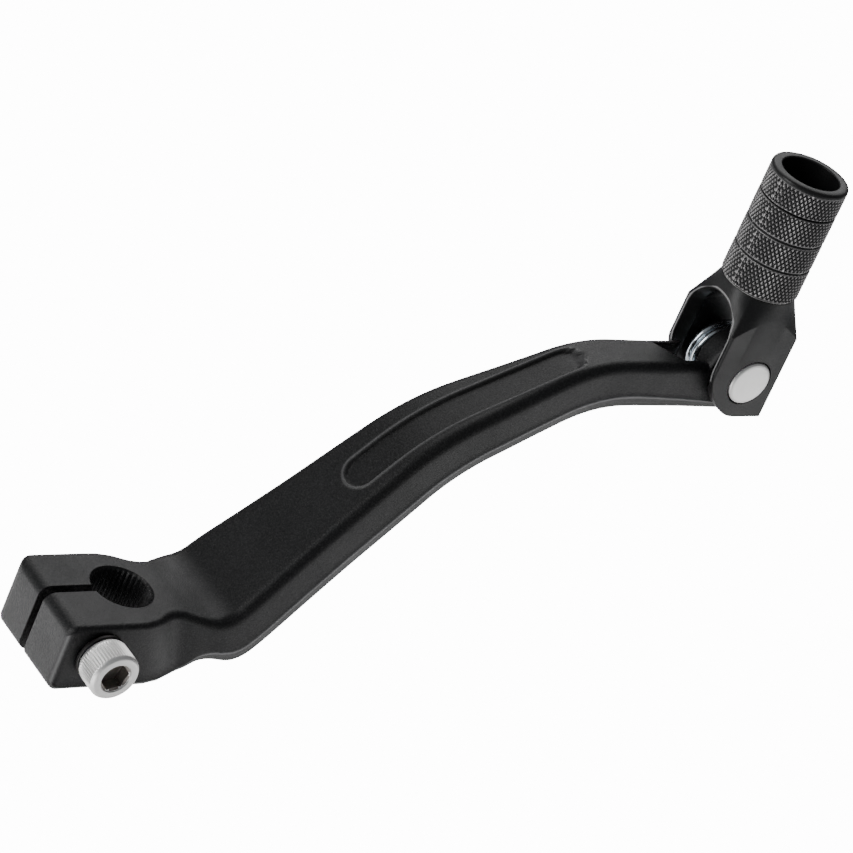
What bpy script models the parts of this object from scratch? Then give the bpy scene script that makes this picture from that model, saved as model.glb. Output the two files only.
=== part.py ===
"""Folding gear shift lever for a small motorcycle.

A forged arm with a split, splined clamp boss for the shift shaft, a bend up to a rounded eye, and a hollow toe peg
whose fork straddles the eye. The fork turns on a rivet and a torsion spring holds it against the eye's stop nose.

Frame: +Z is the shaft bore's axis and points the way the toe peg does, +X runs from the bore to the peg, and the
origin is where the bore's axis meets the boss's outer face. Lengths are in metres, written as millimetres times MM.
"""

import math

import bmesh
import bpy
from mathutils import Matrix, Vector

MM = 0.001
GAP = 0.3 * MM

# Clamp boss
BORE_RADIUS = 6.1 * MM
SPLINE_DEPTH = 0.45 * MM
SPLINE_TEETH = 24
BOSS_THICKNESS = 14.6 * MM
BOSS_HALF_WIDTH = 11.65 * MM
BOSS_END_X = -17.1 * MM
BOSS_EDGE = 1.1 * MM
SLOT_WIDTH = 1.9 * MM

# Pinch bolt, M6, and its spring washer
BOLT_X = -9.1 * MM
BOLT_Z = -6.2 * MM
BOLT_RADIUS = 2.95 * MM
BOLT_LENGTH = 22.0 * MM
HEAD_RADIUS = 5.0 * MM
HEAD_HEIGHT = 5.7 * MM
HEAD_CHAMFER = 0.5 * MM
SOCKET_FLATS = 5.0 * MM
SOCKET_DEPTH = 3.0 * MM
WASHER_RADIUS = 4.9 * MM
WASHER_THICKNESS = 0.8 * MM
WASHER_SPLIT = 0.8 * MM

# Arm: side profile of its outer and inner faces, as x and z, and its half width along x
ARM_TOP = [(3.0, -0.35), (8.0, -0.35), (13.0, -0.8), (18.2, -0.8), (52.8, 37.8), (86.4, 53.9), (109.0, 53.4)]
ARM_BOTTOM = [(3.0, -14.2), (13.2, -14.2), (17.8, -10.4), (24.4, -11.0), (61.2, 29.8), (89.8, 43.4), (109.0, 43.5)]
ARM_TOP_REACH = [1.5, 1.9, 3.1, 10.0, 8.0]
ARM_BOTTOM_REACH = [2.0, 2.2, 3.6, 8.0, 7.0]
ARM_HALF_WIDTH = [(3, 8.0), (8, 8.6), (10.5, 8.3), (13, 8.9), (16, 10.5), (19, 11.3), (25, 11.3), (32, 10.3),
                  (46, 8.75), (60, 7.55), (74, 6.3), (81, 5.7), (88, 5.4), (95, 5.2), (112, 5.1)]
ARM_EDGE_RADIUS = 1.4 * MM
ARM_EDGE_STEPS = 3

# Recessed panel in the arm's outer face, as x along the arm
PANEL_START_X = 40.5 * MM
PANEL_END_X = 85.0 * MM
PANEL_HALF_WIDTH_START = 3.35 * MM
PANEL_HALF_WIDTH_END = 2.95 * MM
PANEL_DEPTH = 0.6 * MM
PANEL_MIDDLE_Y_START = -1.0 * MM
PANEL_MIDDLE_Y_END = 0.05 * MM

# Eye, on the near side of the arm's end, with the spring in a pocket on its far side
PIVOT = Vector((122.4, 0.0, 51.8)) * MM
EYE_RADIUS = 8.4 * MM
EYE_NEAR_Y = -4.9 * MM
EYE_FAR_Y = -0.1 * MM
HUB_RADIUS = 4.9 * MM
POCKET_START_X = 110.6 * MM
POCKET_FULL_X = 113.6 * MM
NOTCH_APEX = (104.4, 3.2)
NOTCH_NEAR_LINE = [(108.6, -2.7), (114.4, -3.0)]
NOTCH_FLOOR_Z = 47.5 * MM
NOSE_LEFT_X = 123.2 * MM
NOSE_RIGHT_X = 129.0 * MM
NOSE_TOP_Z = 63.95 * MM

# Toe peg and its fork
PEG_X = 121.0 * MM
PEG_RADIUS = 8.0 * MM
PEG_TOP_Z = 95.5 * MM
PEG_HOLLOW_RADIUS = 5.95 * MM
PEG_HOLLOW_DEPTH = 22.0 * MM
PEG_END_RING = 1.9 * MM
PEG_BAND = 6.2 * MM
PEG_GROOVE_WIDTH = 0.5 * MM
PEG_GROOVE_DEPTH = 0.35 * MM
PEG_GROOVES = 4
FORK_HALF_X = 8.55 * MM
FORK_HALF_Y = 8.05 * MM
FORK_BOTTOM_Z = 43.7 * MM
FORK_SHOULDER_Z = 67.2 * MM
FORK_SHOULDER_SLOPE = 1.12
FORK_SLOT_HALF = 6.0 * MM
FORK_SLOT_TOP_Z = 66.6 * MM
FORK_MOUTH_FLARE = 1.0 * MM
FORK_MOUTH_DEPTH = 3.0 * MM

# Rivet
RIVET_RADIUS = 3.0 * MM
RIVET_HEAD_RADIUS = 4.73 * MM
RIVET_HEAD_PROUD = 0.45 * MM
RIVET_HEAD_SUNK = 0.9 * MM
RUNNING_GAP = 0.1 * MM

# Torsion spring
WIRE_RADIUS = 0.8 * MM
COIL_RADIUS = 6.0 * MM
COIL_PITCH = 1.65 * MM
COIL_START_Y = 1.0 * MM
COIL_START_DEG = 215.0
COIL_SWEEP_DEG = 805.0
COIL_STEP_DEG = 14.0
LEG_REACH = 13.0 * MM
LEG_DROP = 2.6 * MM
LEG_BEND = 1.3 * MM
LEG_PIN = 1.6 * MM
LEG_HOLE_RADIUS = 1.15 * MM

ROUND_STEPS = 48
PART_NAME = "gear_shift_lever"


def clear_scene():
    for item in list(bpy.data.objects):
        bpy.data.objects.remove(item)


def new_collection(name):
    made = bpy.data.collections.new(name)
    bpy.context.scene.collection.children.link(made)
    return made


def new_material(name, colour, roughness, metallic):
    made = bpy.data.materials.new(name)
    made.use_nodes = True
    shader = made.node_tree.nodes["Principled BSDF"]
    shader.inputs["Base Color"].default_value = (*colour, 1.0)
    shader.inputs["Roughness"].default_value = roughness
    shader.inputs["Metallic"].default_value = metallic
    return made


def mesh_object(name, bm, group):
    """A new object holding the bmesh, with its faces pointing out."""
    bmesh.ops.recalc_face_normals(bm, faces=bm.faces)
    mesh = bpy.data.meshes.new(name)
    bm.to_mesh(mesh)
    bm.free()
    made = bpy.data.objects.new(name, mesh)
    group.objects.link(made)
    return made


def hide_guide(guide):
    guide.hide_render = True
    guide.display_type = "WIRE"
    return guide


def shade(item, degrees=35.0):
    item.data.shade_smooth()
    item.data.set_sharp_from_angle(angle=math.radians(degrees))


def boolean(target, other, operation):
    step = target.modifiers.new(f"{operation.lower()}_{other.name}", "BOOLEAN")
    step.operation = operation
    step.solver = "EXACT"
    step.object = other


def bevel(target, width, segments=2):
    step = target.modifiers.new("edges", "BEVEL")
    step.width = width
    step.segments = segments
    step.limit_method = "ANGLE"
    step.angle_limit = math.radians(40.0)


def cylinder(name, radius, start, end, group, sides=ROUND_STEPS):
    """A cylinder whose axis runs from start to end."""
    start, end = Vector(start), Vector(end)
    bm = bmesh.new()
    bmesh.ops.create_cone(bm, cap_ends=True, segments=sides, radius1=radius, radius2=radius,
                          depth=(end - start).length)
    turn = Vector((0.0, 0.0, 1.0)).rotation_difference(end - start).to_matrix().to_4x4()
    bm.transform(Matrix.Translation((start + end) / 2) @ turn)
    return hide_guide(mesh_object(name, bm, group))


def box(name, low, high, group):
    low, high = Vector(low), Vector(high)
    bm = bmesh.new()
    bmesh.ops.create_cube(bm, size=1.0)
    bmesh.ops.scale(bm, vec=high - low, verts=bm.verts)
    bmesh.ops.translate(bm, vec=(low + high) / 2, verts=bm.verts)
    return hide_guide(mesh_object(name, bm, group))


def turned(name, profile, group, steps=ROUND_STEPS):
    """A body turned about its own Z axis from (radius, height) points, top to bottom."""
    mesh = bpy.data.meshes.new(name)
    points = [(radius, 0.0, height) for radius, height in profile]
    mesh.from_pydata(points, [(i, i + 1) for i in range(len(points) - 1)], [])
    made = bpy.data.objects.new(name, mesh)
    group.objects.link(made)
    spin = made.modifiers.new("turn", "SCREW")
    spin.steps = steps
    spin.render_steps = steps
    spin.use_merge_vertices = True
    spin.merge_threshold = 0.00001
    return made


def outline_solid(name, points, half_depth, group):
    """A flat outline in its own XY plane, extruded half_depth each way and made a closed mesh."""
    curve = bpy.data.curves.new(name + "_outline", "CURVE")
    curve.dimensions = "2D"
    curve.fill_mode = "BOTH"
    curve.extrude = half_depth
    line = curve.splines.new("POLY")
    line.points.add(len(points) - 1)
    for place, (x, y) in zip(line.points, points):
        place.co = (x, y, 0.0, 1.0)
    line.use_cyclic_u = True
    drawn = bpy.data.objects.new(name + "_outline", curve)
    group.objects.link(drawn)
    return curve_to_mesh(drawn, name, group)


def curve_to_mesh(drawn, name, group):
    """The curve object as a closed mesh with welded caps; the curve is removed."""
    bpy.context.view_layer.update()
    evaluated = drawn.evaluated_get(bpy.context.evaluated_depsgraph_get())
    mesh = bpy.data.meshes.new_from_object(evaluated)
    bm = bmesh.new()
    bm.from_mesh(mesh)
    bmesh.ops.remove_doubles(bm, verts=bm.verts, dist=0.000001)
    bmesh.ops.dissolve_limit(bm, angle_limit=math.radians(1.0), verts=bm.verts, edges=bm.edges)
    made = mesh_object(name, bm, group)
    made.matrix_world = drawn.matrix_world
    bpy.data.meshes.remove(mesh)
    bpy.data.objects.remove(drawn)
    return made


def stand_in_xz(item, y):
    """Turns a solid drawn in XY so that its outline lies in the XZ plane, centred at y."""
    item.rotation_euler = (math.radians(90.0), 0.0, 0.0)
    item.location = (0.0, y, 0.0)
    return item


def arc(centre, radius, start_deg, end_deg, steps):
    """Points on an arc, both ends included."""
    turns = [math.radians(start_deg + (end_deg - start_deg) * i / steps) for i in range(steps + 1)]
    return [(centre[0] + radius * math.cos(a), centre[1] + radius * math.sin(a)) for a in turns]


def bezier(p0, p1, p2, p3, steps):
    """Points on a cubic from p0 to p3, both ends included."""
    points = []
    for i in range(steps + 1):
        t = i / steps
        s = 1.0 - t
        weights = (s ** 3, 3 * s * s * t, 3 * s * t * t, t ** 3)
        points.append(tuple(sum(w * p[k] for w, p in zip(weights, (p0, p1, p2, p3))) for k in (0, 1)))
    return points


def rounded_line(corners, reaches, curve_steps=6, straight_steps=3):
    """A line through the corners, each inner one softened by a curve that starts its reach away."""
    corners = [Vector(c) for c in corners]
    points = [corners[0]]
    for before, corner, after, reach in zip(corners, corners[1:], corners[2:], reaches):
        start = corner + (before - corner).normalized() * reach
        end = corner + (after - corner).normalized() * reach
        points += [points[-1].lerp(start, (i + 1) / straight_steps) for i in range(straight_steps)]
        for i in range(1, curve_steps + 1):
            t = i / curve_steps
            points.append(start.lerp(corner, t).lerp(corner.lerp(end, t), t))
    points += [points[-1].lerp(corners[-1], (i + 1) / straight_steps) for i in range(straight_steps)]
    return points


def interpolate(table, x):
    """Value at x from (x, value) pairs, straight between them."""
    for (x0, v0), (x1, v1) in zip(table, table[1:]):
        if x <= x1:
            t = max(0.0, (x - x0) / (x1 - x0))
            return v0 + (v1 - v0) * t
    return table[-1][1]


def rounded_section(half_width, thickness, radius, steps):
    """Corner points of a rounded rectangle, across and up, starting at its lower right corner."""
    points = []
    for sign_y, sign_z, start in ((1, 0, -90), (1, 1, 0), (-1, 1, 90), (-1, 0, 180)):
        across = sign_y * (half_width - radius)
        up = thickness - radius if sign_z else radius
        points += arc((across, up), radius, start, start + 90, steps)
    return points


def loft(name, sections, group):
    """A closed body through rings of points that all have the same count."""
    bm = bmesh.new()
    rings = [[bm.verts.new(p) for p in ring] for ring in sections]
    count = len(rings[0])
    for ring, following in zip(rings, rings[1:]):
        for i in range(count):
            j = (i + 1) % count
            bm.faces.new((ring[i], ring[j], following[j], following[i]))
    bm.faces.new(rings[0])
    bm.faces.new(rings[-1])
    return mesh_object(name, bm, group)


def arm_stations():
    """Matching points on the arm's outer and inner faces, from the boss to the eye."""
    top = rounded_line(ARM_TOP, ARM_TOP_REACH)
    bottom = rounded_line(ARM_BOTTOM, ARM_BOTTOM_REACH)
    return [(t * MM, b * MM) for t, b in zip(top, bottom)]


def arm_half_width(x):
    return interpolate(ARM_HALF_WIDTH, x / MM) * MM


def make_arm_bar(group):
    sections = []
    for top, bottom in arm_stations():
        rise = top - bottom
        half = arm_half_width((top.x + bottom.x) / 2)
        ring = rounded_section(half, rise.length, ARM_EDGE_RADIUS, ARM_EDGE_STEPS)
        up = rise.normalized()
        sections.append([(bottom.x + up.x * v, u, bottom.y + up.y * v) for u, v in ring])
    return loft("arm", sections, group)


def make_boss(group):
    """A block with a round end about the bore."""
    points = [(BOSS_END_X, BOSS_HALF_WIDTH), (BOSS_END_X, -BOSS_HALF_WIDTH)]
    points += arc((0.0, 0.0), BOSS_HALF_WIDTH, -90.0, 90.0, 20)
    boss = outline_solid("boss", points, BOSS_THICKNESS / 2, group)
    boss.location.z = -BOSS_THICKNESS / 2
    bevel(boss, BOSS_EDGE)
    return hide_guide(boss)


def make_eye(group):
    """The eye's plate: it leaves the arm, rounds the pivot and rises to the nose that stops the fork."""
    centre = (PIVOT.x, PIVOT.z)
    root_x = 106.0 * MM
    arm_top = ARM_TOP[-1][1] * MM - GAP
    arm_bottom = ARM_BOTTOM[-1][1] * MM + GAP
    points = [(root_x, arm_top), (root_x, arm_bottom)]
    points += arc(centre, EYE_RADIUS, -90.0, -10.0, 10)
    nose_edge = 1.5 * MM
    points += [(NOSE_RIGHT_X, NOSE_TOP_Z - nose_edge), (NOSE_RIGHT_X - nose_edge, NOSE_TOP_Z)]
    points.append((NOSE_LEFT_X, NOSE_TOP_Z))
    points += arc(centre, EYE_RADIUS, 84.0, 158.0, 10)
    points += bezier(points[-1], (114.2 * MM, 53.0 * MM), (113.0 * MM, arm_top), (109.0 * MM, arm_top), 4)[1:]
    blank_far_y = EYE_FAR_Y + 1.0 * MM
    eye = outline_solid("eye", points, (blank_far_y - EYE_NEAR_Y) / 2, group)
    return hide_guide(stand_in_xz(eye, (blank_far_y + EYE_NEAR_Y) / 2))


def along_y(x, z, y_start, y_end):
    return (x, y_start, z), (x, y_end, z)


def make_spring_pocket(group):
    """The room for the spring beyond the eye's plate, with a slanted wall where the arm ends."""
    beyond_x = PIVOT.x + 15.0 * MM
    beyond_y = 14.0 * MM
    wall_y = 5.6 * MM
    half_height = 14.0 * MM
    points = [(POCKET_START_X, wall_y), (POCKET_FULL_X, EYE_FAR_Y), (beyond_x, EYE_FAR_Y), (beyond_x, beyond_y)]
    points.append((POCKET_START_X, beyond_y))
    pocket = outline_solid("spring_pocket", points, half_height, group)
    pocket.location.z = PIVOT.z
    return hide_guide(pocket)


def make_leg_notch(group):
    """The three-cornered notch in the arm's outer face, where the spring's first leg lies."""
    height = 20.0 * MM
    end_x = NOTCH_NEAR_LINE[-1][0]
    outline = [NOTCH_APEX] + NOTCH_NEAR_LINE + [(end_x, NOTCH_APEX[1])]
    notch = outline_solid("leg_notch", [(x * MM, y * MM) for x, y in outline], height / 2, group)
    notch.location.z = NOTCH_FLOOR_Z + height / 2
    return hide_guide(notch)


def make_panel_cutter(group):
    """A strip with round ends that follows the arm's outer face, sunk by the panel's depth."""
    stations = []
    tops = [top for top, _ in arm_stations()]
    fine = []
    for a, b in zip(tops, tops[1:]):
        fine += [a.lerp(b, i / 4) for i in range(4)]
    inside = [p for p in fine if PANEL_START_X <= p.x <= PANEL_END_X]
    length = sum((b - a).length for a, b in zip(inside, inside[1:]))
    run = 0.0
    for index, place in enumerate(inside):
        if index:
            run += (place - inside[index - 1]).length
        before = inside[max(index - 1, 0)]
        after = inside[min(index + 1, len(inside) - 1)]
        along = (after - before).normalized()
        out = Vector((-along.y, along.x))
        share = run / length
        straight = PANEL_HALF_WIDTH_START + (PANEL_HALF_WIDTH_END - PANEL_HALF_WIDTH_START) * share
        middle = PANEL_MIDDLE_Y_START + (PANEL_MIDDLE_Y_END - PANEL_MIDDLE_Y_START) * share
        from_end = min(run, length - run)
        short = max(0.0, 1.0 - from_end / straight)
        half = straight * math.sqrt(max(0.03, 1.0 - short * short))
        low = place - out * PANEL_DEPTH
        high = place + out * 2.0 * MM
        far_y, near_y = middle + half, middle - half
        stations.append([(low.x, far_y, low.y), (low.x, near_y, low.y), (high.x, near_y, high.y),
                         (high.x, far_y, high.y)])
    return hide_guide(loft("panel_cutter", stations, group))


def make_spline_cutter(group):
    """The shaft bore with its serrations: a star-shaped prism."""
    points = []
    for i in range(SPLINE_TEETH):
        for turn, radius in ((0.0, BORE_RADIUS), (0.5, BORE_RADIUS - SPLINE_DEPTH)):
            a = math.tau * (i + turn) / SPLINE_TEETH
            points.append((radius * math.cos(a), radius * math.sin(a)))
    cutter = outline_solid("bore_cutter", points, BOSS_THICKNESS, group)
    cutter.location.z = -BOSS_THICKNESS / 2
    return hide_guide(cutter)


def make_arm(parts, guides, finish):
    arm = make_arm_bar(parts)
    far = 30.0 * MM
    boolean(arm, make_boss(guides), "UNION")
    boolean(arm, make_eye(guides), "UNION")
    boolean(arm, make_spring_pocket(guides), "DIFFERENCE")
    boolean(arm, make_leg_notch(guides), "DIFFERENCE")
    hub = cylinder("eye_hub", HUB_RADIUS, *along_y(PIVOT.x, PIVOT.z, -1.0 * MM, FORK_SLOT_HALF - GAP), guides)
    boolean(arm, hub, "UNION")
    rivet_hole = cylinder("rivet_hole", RIVET_RADIUS + RUNNING_GAP, *along_y(PIVOT.x, PIVOT.z, -far, far), guides)
    boolean(arm, rivet_hole, "DIFFERENCE")
    boolean(arm, make_spline_cutter(guides), "DIFFERENCE")
    slot = box("clamp_slot", (-far, -SLOT_WIDTH / 2, -far), (0.0, SLOT_WIDTH / 2, far), guides)
    boolean(arm, slot, "DIFFERENCE")
    bolt_hole = cylinder("bolt_hole", BOLT_RADIUS + GAP, *along_y(BOLT_X, BOLT_Z, -far, far), guides, 32)
    boolean(arm, bolt_hole, "DIFFERENCE")
    boolean(arm, make_panel_cutter(guides), "DIFFERENCE")
    arm.data.materials.append(finish)
    shade(arm)


def make_bolt(parts, guides, finish):
    """A socket head cap screw, drawn with its head up and laid along Y with its head at -Y."""
    under_head = 0.0
    top = HEAD_HEIGHT
    tip = -BOLT_LENGTH
    point = 0.8 * MM
    profile = [(0.0, top), (HEAD_RADIUS - HEAD_CHAMFER, top), (HEAD_RADIUS, top - HEAD_CHAMFER)]
    profile += [(HEAD_RADIUS, under_head), (BOLT_RADIUS, under_head), (BOLT_RADIUS, tip + point)]
    profile += [(BOLT_RADIUS - point, tip), (0.0, tip)]
    bolt = turned("pinch_bolt", profile, parts)
    socket = cylinder("socket", SOCKET_FLATS / math.sqrt(3.0), (0.0, 0.0, top - SOCKET_DEPTH),
                      (0.0, 0.0, top + 1.0 * MM), guides, 6)
    socket.parent = bolt
    boolean(bolt, socket, "DIFFERENCE")
    bolt.location = (BOLT_X, -BOSS_HALF_WIDTH - WASHER_THICKNESS - 2 * GAP, BOLT_Z)
    bolt.rotation_euler = (math.radians(90.0), 0.0, 0.0)
    bolt.data.materials.append(finish)
    shade(bolt)


def make_washer(parts, guides, finish):
    """A split spring washer between the bolt's head and the boss."""
    inner = BOLT_RADIUS + GAP
    outer = WASHER_RADIUS
    profile = [(inner, 0.0), (inner, WASHER_THICKNESS), (outer, WASHER_THICKNESS), (outer, 0.0)]
    washer = turned("lock_washer", profile + profile[:1], parts)
    split = box("washer_split", (0.0, -WASHER_SPLIT / 2, -WASHER_THICKNESS),
                (2 * WASHER_RADIUS, WASHER_SPLIT / 2, 2 * WASHER_THICKNESS), guides)
    split.parent = washer
    split.rotation_euler = (math.radians(18.0), 0.0, math.radians(62.0))
    boolean(washer, split, "DIFFERENCE")
    washer.location = (BOLT_X, -BOSS_HALF_WIDTH - GAP, BOLT_Z)
    washer.rotation_euler = (math.radians(90.0), 0.0, 0.0)
    washer.data.materials.append(finish)
    shade(washer)


def peg_profile():
    """The peg's turned shape, from its hollow's floor out over the end ring and grooved bands to the fork's cone."""
    edge = 0.35 * MM
    floor_z = PEG_TOP_Z - PEG_HOLLOW_DEPTH
    profile = [(0.0, floor_z), (PEG_HOLLOW_RADIUS, floor_z), (PEG_HOLLOW_RADIUS, PEG_TOP_Z)]
    profile += [(PEG_RADIUS - edge, PEG_TOP_Z), (PEG_RADIUS, PEG_TOP_Z - edge)]
    for i in range(PEG_GROOVES):
        z = PEG_TOP_Z - PEG_END_RING - i * PEG_BAND
        bottom = PEG_RADIUS - PEG_GROOVE_DEPTH
        half = PEG_GROOVE_WIDTH / 2
        profile += [(PEG_RADIUS, z + half), (bottom, z + half / 2), (bottom, z - half / 2), (PEG_RADIUS, z - half)]
    reach = 14.0 * MM
    cone_z = FORK_SHOULDER_Z - (reach - PEG_RADIUS) / FORK_SHOULDER_SLOPE
    base_z = FORK_BOTTOM_Z - 2.0 * MM
    return profile + [(PEG_RADIUS, FORK_SHOULDER_Z), (reach, cone_z), (reach, base_z), (0.0, base_z)]


def make_fork_block(group):
    """The fork's side outline, extruded across: square but for its lower corner next to the arm."""
    left = PEG_X - FORK_HALF_X
    right = PEG_X + FORK_HALF_X
    roof = PEG_TOP_Z + 5.0 * MM
    corner_z = FORK_BOTTOM_Z + 10.8 * MM
    corner_x = left + 9.6 * MM
    corner = bezier((left, corner_z), (left, corner_z - 3.8 * MM), (corner_x - 3.4 * MM, FORK_BOTTOM_Z),
                    (corner_x, FORK_BOTTOM_Z), 10)
    points = [(right, roof), (left, roof)] + corner + [(right, FORK_BOTTOM_Z)]
    block = outline_solid("toe_peg", points, FORK_HALF_Y, group)
    return stand_in_xz(block, 0.0)


def arch(half, top_z, steps=16):
    """Half outline of the fork's slot seen along X: straight sides under a round top, as y and z."""
    springing = top_z - half
    return [(half, FORK_BOTTOM_Z - 5.0 * MM)] + arc((0.0, springing), half, 0.0, 180.0, steps) + \
        [(-half, FORK_BOTTOM_Z - 5.0 * MM)]


def make_fork_slot(group):
    """The slot between the ears, open towards the arm, below and beyond, and wider at its mouth."""
    left = PEG_X - FORK_HALF_X
    beyond = 4.0 * MM
    slope = FORK_MOUTH_FLARE / FORK_MOUTH_DEPTH
    widest = FORK_SLOT_HALF + slope * (FORK_MOUTH_DEPTH + beyond)
    sections = []
    for x, half in ((left - beyond, widest), (left + FORK_MOUTH_DEPTH, FORK_SLOT_HALF),
                    (PEG_X + FORK_HALF_X + beyond, FORK_SLOT_HALF)):
        top_z = FORK_SLOT_TOP_Z + (half - FORK_SLOT_HALF)
        sections.append([(x, y, z) for y, z in arch(half, top_z)])
    return hide_guide(loft("fork_slot", sections, group))


def make_toe_peg(parts, guides, finish, far_leg):
    peg = make_fork_block(parts)
    shape = turned("peg_shape", peg_profile(), guides)
    shape.location = (PEG_X, 0.0, 0.0)
    boolean(peg, hide_guide(shape), "INTERSECT")
    boolean(peg, make_fork_slot(guides), "DIFFERENCE")
    far = 30.0 * MM
    hole = cylinder("fork_hole", RIVET_RADIUS + GAP, *along_y(PIVOT.x, PIVOT.z, -far, far), guides)
    boolean(peg, hole, "DIFFERENCE")
    sunk = FORK_HALF_Y - RIVET_HEAD_SUNK - GAP
    for side in (-1, 1):
        recess = cylinder(f"rivet_recess_{'near' if side < 0 else 'far'}", RIVET_HEAD_RADIUS + GAP,
                          *along_y(PIVOT.x, PIVOT.z, side * sunk, side * far), guides)
        boolean(peg, recess, "DIFFERENCE")
    leg_hole = cylinder("leg_hole", LEG_HOLE_RADIUS, *along_y(far_leg.x, far_leg.z, 0.0, far), guides, 16)
    boolean(peg, leg_hole, "DIFFERENCE")
    peg.data.materials.append(finish)
    shade(peg)


def make_rivet(parts, finish):
    """A pin with a low head at each end, formed over the ears."""
    end = FORK_HALF_Y + RIVET_HEAD_PROUD
    under = FORK_HALF_Y - RIVET_HEAD_SUNK
    edge = 0.3 * MM
    upper = [(0.0, end), (RIVET_HEAD_RADIUS - edge, end), (RIVET_HEAD_RADIUS, end - edge)]
    upper.append((RIVET_HEAD_RADIUS, under))
    lower = [(radius, -height) for radius, height in reversed(upper)]
    rivet = turned("pivot_rivet", upper + [(RIVET_RADIUS, under), (RIVET_RADIUS, -under)] + lower, parts)
    rivet.location = PIVOT
    rivet.rotation_euler = (math.radians(90.0), 0.0, 0.0)
    rivet.data.materials.append(finish)
    shade(rivet)


def spring_route():
    """The wire's centreline: a leg laid along the arm, the coil about the hub, and a leg turned into the far ear."""
    steps = round(COIL_SWEEP_DEG / COIL_STEP_DEG)
    coil = []
    for i in range(steps + 1):
        turn = COIL_SWEEP_DEG * i / steps
        a = math.radians(COIL_START_DEG + turn)
        y = COIL_START_Y + COIL_PITCH * turn / 360.0
        coil.append(PIVOT + Vector((COIL_RADIUS * math.cos(a), y, COIL_RADIUS * math.sin(a))))
    elbow = (PIVOT.x - LEG_REACH + 5.0 * MM, PIVOT.z - LEG_DROP)
    start = (coil[0].x, coil[0].z)
    back = (coil[0] - coil[1]).normalized() * 1.6 * MM
    bend = bezier(elbow, (elbow[0] + 1.4 * MM, elbow[1]), (start[0] + back.x, start[1] + back.z), start, 6)
    y_near = PIVOT.y + COIL_START_Y
    near_leg = [Vector((PIVOT.x - LEG_REACH, y_near, PIVOT.z - LEG_DROP))]
    near_leg += [Vector((x, y_near, z)) for x, z in bend[:-1]]
    heading = (coil[-1] - coil[-2]).normalized()
    heading.y = 0.0
    turn_in = []
    for i in range(1, 6):
        a = math.radians(18.0 * i)
        turn_in.append(coil[-1] + heading * LEG_BEND * math.sin(a) + Vector((0, LEG_BEND * (1 - math.cos(a)), 0)))
    pin = turn_in[-1] + Vector((0.0, LEG_PIN, 0.0))
    return near_leg + coil + turn_in + [pin]


def make_spring(parts, finish, route):
    curve = bpy.data.curves.new("return_spring", "CURVE")
    curve.dimensions = "3D"
    curve.bevel_depth = WIRE_RADIUS
    curve.bevel_resolution = 2
    curve.use_fill_caps = True
    line = curve.splines.new("POLY")
    line.points.add(len(route) - 1)
    for place, point in zip(line.points, route):
        place.co = (*(point - PIVOT), 1.0)
    spring = bpy.data.objects.new("return_spring", curve)
    spring.location = PIVOT
    parts.objects.link(spring)
    curve.materials.append(finish)


def main():
    clear_scene()
    parts = new_collection(PART_NAME)
    guides = new_collection("guides")
    black = new_material("black_coat", (0.018, 0.018, 0.019), 0.42, 0.0)
    anodised = new_material("black_anodised", (0.03, 0.03, 0.032), 0.38, 0.6)
    steel = new_material("stainless", (0.72, 0.71, 0.69), 0.28, 1.0)
    oxide = new_material("black_oxide", (0.04, 0.04, 0.04), 0.5, 0.8)
    zinc = new_material("zinc_plate", (0.62, 0.66, 0.7), 0.22, 1.0)
    route = spring_route()
    make_arm(parts, guides, black)
    make_bolt(parts, guides, steel)
    make_washer(parts, guides, oxide)
    make_toe_peg(parts, guides, anodised, route[-1])
    make_rivet(parts, steel)
    make_spring(parts, zinc, route)


main()
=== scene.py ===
import math

import bmesh
import bpy
import numpy as np
from mathutils import Matrix, Vector


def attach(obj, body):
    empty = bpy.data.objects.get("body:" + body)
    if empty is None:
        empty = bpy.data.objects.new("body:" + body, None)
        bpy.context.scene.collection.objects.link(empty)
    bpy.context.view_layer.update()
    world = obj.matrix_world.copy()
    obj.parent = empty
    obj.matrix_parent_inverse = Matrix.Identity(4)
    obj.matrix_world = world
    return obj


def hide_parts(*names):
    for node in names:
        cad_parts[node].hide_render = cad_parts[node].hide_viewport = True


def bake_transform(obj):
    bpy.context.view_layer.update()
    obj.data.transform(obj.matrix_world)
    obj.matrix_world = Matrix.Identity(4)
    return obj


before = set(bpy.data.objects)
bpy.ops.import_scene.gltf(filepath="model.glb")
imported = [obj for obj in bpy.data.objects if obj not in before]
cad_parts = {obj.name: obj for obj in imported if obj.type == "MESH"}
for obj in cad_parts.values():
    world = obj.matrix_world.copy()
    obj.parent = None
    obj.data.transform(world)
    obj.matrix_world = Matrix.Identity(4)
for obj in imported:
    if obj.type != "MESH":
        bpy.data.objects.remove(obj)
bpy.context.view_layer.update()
MM = 0.001

# Positions and sizes shared with the CAD, in millimetres. SEAT_Y is the boss's face under the washer.
PIVOT = np.array([122.4, 0.0, 51.8])
PEG_X = 121.0
BOLT_X, BOLT_Z = -9.1, -6.2
SEAT_Y = -11.65
CLAMP_SLOT_HALF, BOLT_HOLE_R, RIVET_HOLE_R, LEG_HOLE_R = 0.95, 3.25, 3.1, 1.15
BORE_R = 6.1
# Past the object on every side, for the cutters
FAR = 40.0


# ---------------------------------------------------------------- meshes

def link(mesh, name):
    made = bpy.data.objects.new(name, mesh)
    bpy.context.scene.collection.objects.link(made)
    return made


def from_bmesh(name, bm):
    bmesh.ops.recalc_face_normals(bm, faces=bm.faces)
    mesh = bpy.data.meshes.new(name)
    bm.to_mesh(mesh)
    bm.free()
    return link(mesh, name)


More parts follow.
